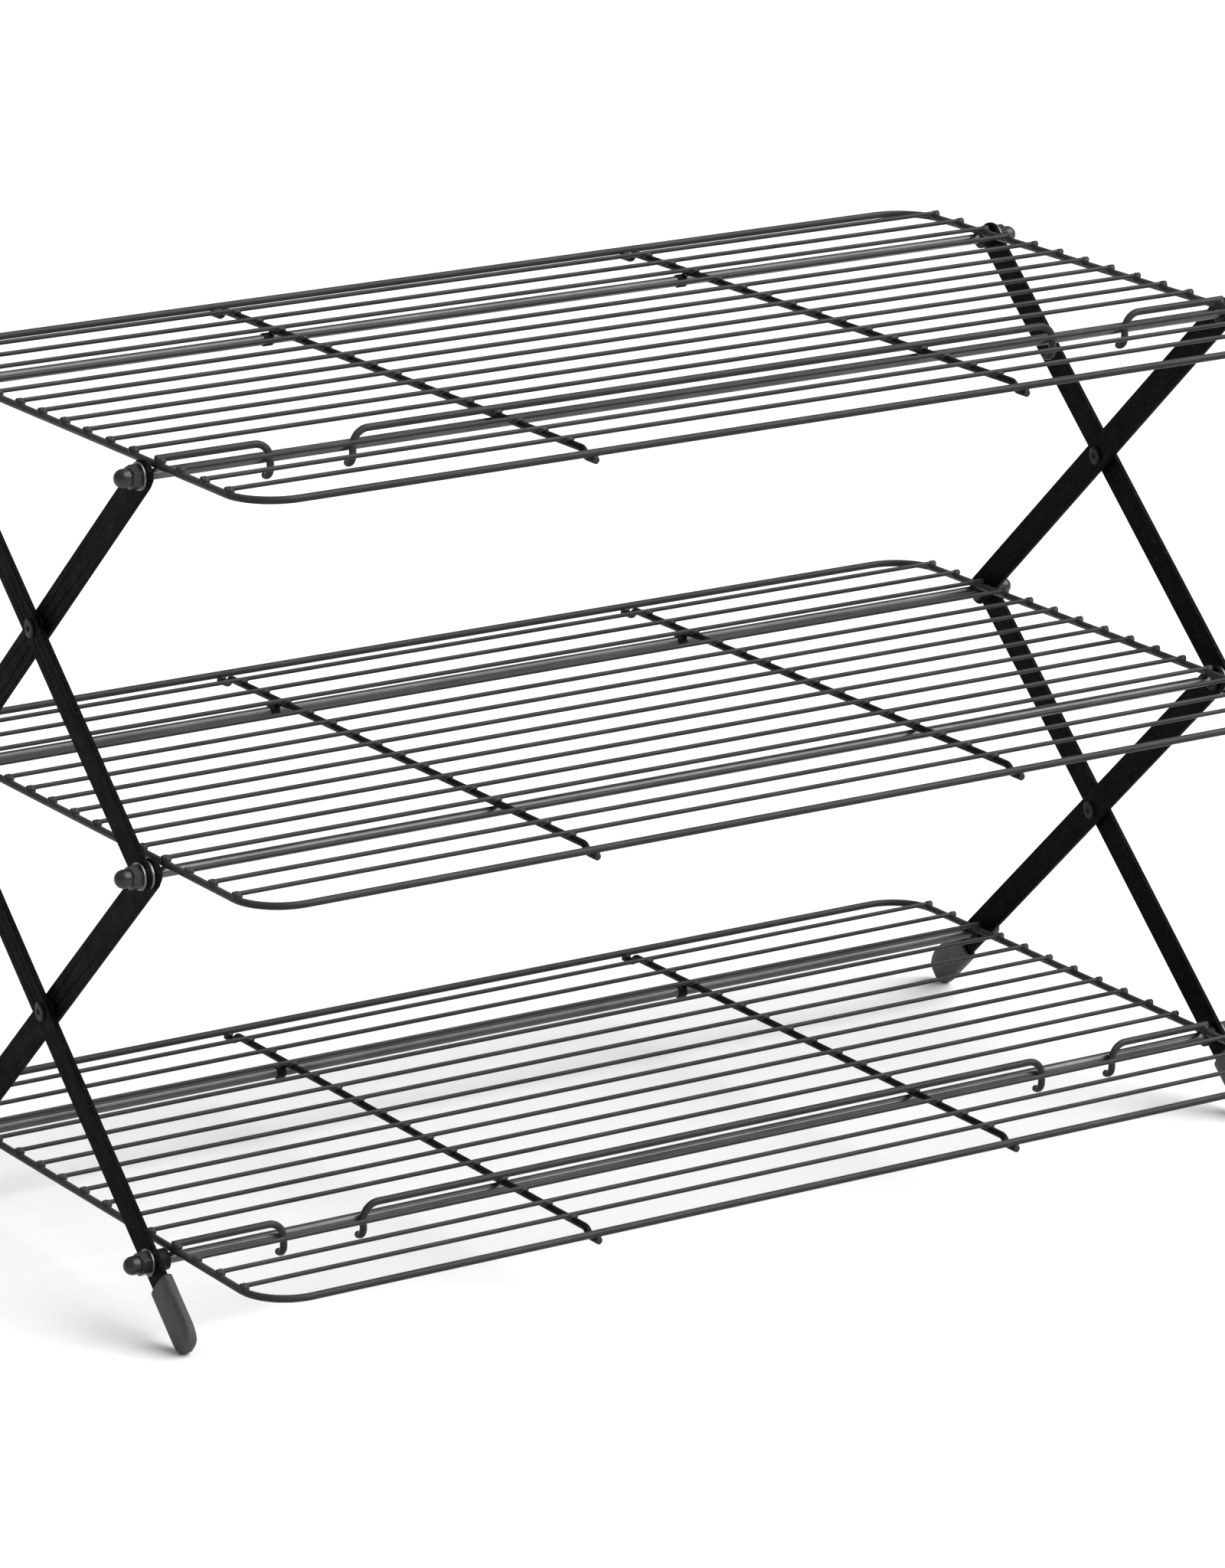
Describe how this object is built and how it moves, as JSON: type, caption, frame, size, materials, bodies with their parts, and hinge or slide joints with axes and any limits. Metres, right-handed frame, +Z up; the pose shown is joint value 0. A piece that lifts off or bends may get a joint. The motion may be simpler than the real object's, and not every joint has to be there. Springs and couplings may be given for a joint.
{
  "type": "cooling rack",
  "caption": "Tiered folding wire cooling rack: flat wire grids on cross rods, carried by two-stage scissor legs, with hook wires that hold it open.",
  "frame": {"origin": "on the floor, under the centre of the grids", "axes": "+X along the long side of the grids, -Y to the hook side (front), +Z up"},
  "size_m": [0.4314, 0.2392, 0.2827],
  "materials": {
    "wire_coat": "dark grey non-stick coating with a soft sheen on steel wire",
    "leg_coat": "matte black coating on flat steel bar and rivets",
    "collar_coat": "black coating",
    "plated_steel": "dark grey coated rods, nuts and washers with a soft sheen",
    "foot_cap": "satin grey plastic sleeve"
  },
  "bodies": {
    "bottom_grid": {"bottom_border_wire": "wire_coat", "bottom_long_wires": "wire_coat", "bottom_cross_wires": "wire_coat", "bottom_hook_wires": "wire_coat", "bottom_hinge_sleeves": "wire_coat", "bottom_back_rod": "plated_steel", "bottom_back_nuts": "plated_steel", "bottom_back_washers": "plated_steel", "bottom_back_collars": "collar_coat"},
    "lower_inner_legs": {"lower_inner_leg_left": "leg_coat", "lower_inner_leg_right": "leg_coat", "back_foot_left": "foot_cap", "back_foot_right": "foot_cap", "lower_rivet_left": "leg_coat", "lower_rivet_right": "leg_coat", "lower_rivet_washers": "plated_steel", "middle_front_rod": "plated_steel", "middle_front_nuts": "plated_steel", "middle_front_washers": "plated_steel", "middle_front_collars": "collar_coat"},
    "lower_outer_legs": {"lower_outer_leg_left": "leg_coat", "lower_outer_leg_right": "leg_coat", "front_foot_left": "foot_cap", "front_foot_right": "foot_cap", "bottom_front_rod": "plated_steel", "bottom_front_nuts": "plated_steel", "bottom_front_washers": "plated_steel", "bottom_front_collars": "collar_coat"},
    "upper_outer_legs": {"upper_outer_leg_left": "leg_coat", "upper_outer_leg_right": "leg_coat", "upper_rivet_left": "leg_coat", "upper_rivet_right": "leg_coat", "upper_rivet_washers": "plated_steel"},
    "upper_inner_legs": {"upper_inner_leg_left": "leg_coat", "upper_inner_leg_right": "leg_coat", "top_front_rod": "plated_steel", "top_front_nuts": "plated_steel", "top_front_washers": "plated_steel", "top_front_collars": "collar_coat"},
    "middle_grid": {"middle_border_wire": "wire_coat", "middle_long_wires": "wire_coat", "middle_cross_wires": "wire_coat", "middle_hinge_sleeves": "wire_coat", "middle_back_rod": "plated_steel", "middle_back_nuts": "plated_steel", "middle_back_washers": "plated_steel", "middle_back_collars": "collar_coat"},
    "top_grid": {"top_border_wire": "wire_coat", "top_long_wires": "wire_coat", "top_cross_wires": "wire_coat", "top_hook_wires": "wire_coat", "top_hinge_sleeves": "wire_coat", "top_back_rod": "plated_steel", "top_back_nuts": "plated_steel", "top_back_washers": "plated_steel", "top_back_collars": "collar_coat"}
  },
  "joints": [
    {"name": "fold", "type": "hinge", "parent": "bottom_grid", "child": "lower_inner_legs", "pos_m": [0, 0.08, 0.02406], "axis": [1, 0, 0], "range_deg": [0, 37.5]},
    {"name": "lower_scissor", "type": "hinge", "parent": "lower_inner_legs", "child": "lower_outer_legs", "pos_m": [0, 0.0112, 0.08706], "axis": [1, 0, 0], "range_deg": [-75, 0]},
    {"name": "upper_leg_pivot", "type": "hinge", "parent": "lower_inner_legs", "child": "upper_outer_legs", "pos_m": [0, -0.0576, 0.15006], "axis": [1, 0, 0], "range_deg": [-75, 0]},
    {"name": "upper_scissor", "type": "hinge", "parent": "upper_outer_legs", "child": "upper_inner_legs", "pos_m": [0, 0.0112, 0.21306], "axis": [1, 0, 0], "range_deg": [0, 75]},
    {"name": "middle_grid_level", "type": "hinge", "parent": "lower_outer_legs", "child": "middle_grid", "pos_m": [0, 0.08, 0.15006], "axis": [1, 0, 0], "range_deg": [0, 37.5]},
    {"name": "top_grid_level", "type": "hinge", "parent": "upper_outer_legs", "child": "top_grid", "pos_m": [0, 0.08, 0.27606], "axis": [1, 0, 0], "range_deg": [0, 37.5]}
  ],
  "couplings": [
    {"joint": "lower_scissor", "follows": "fold", "ratio": -2},
    {"joint": "upper_leg_pivot", "follows": "fold", "ratio": -2},
    {"joint": "upper_scissor", "follows": "fold", "ratio": 2},
    {"joint": "middle_grid_level", "follows": "fold", "ratio": 1},
    {"joint": "top_grid_level", "follows": "fold", "ratio": 1}
  ]
}
